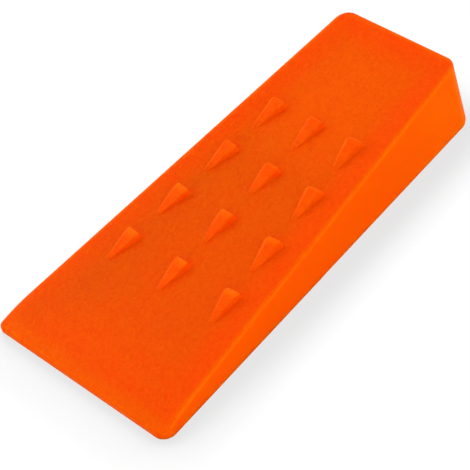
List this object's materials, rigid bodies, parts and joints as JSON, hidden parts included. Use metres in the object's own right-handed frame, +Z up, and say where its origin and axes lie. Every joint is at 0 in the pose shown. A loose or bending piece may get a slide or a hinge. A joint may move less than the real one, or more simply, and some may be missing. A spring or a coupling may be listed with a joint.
{
  "type": "felling wedge",
  "caption": "Solid plastic felling wedge with a barbed upper face, driven into the back cut of a tree to hold the cut open and tip the tree.",
  "frame": {"origin": "middle of the underside's bounding box, on the surface that the wedge lies on", "axes": "+X from the thin tip to the thick poll, +Y across the wedge, +Z up from the flat underside"},
  "size_m": [0.14, 0.0706, 0.0223],
  "materials": {
    "wedge_body": "fine-grained satin, moulded through in orange"
  },
  "bodies": {
    "root": {"wedge_body": "wedge_body"}
  },
  "joints": []
}
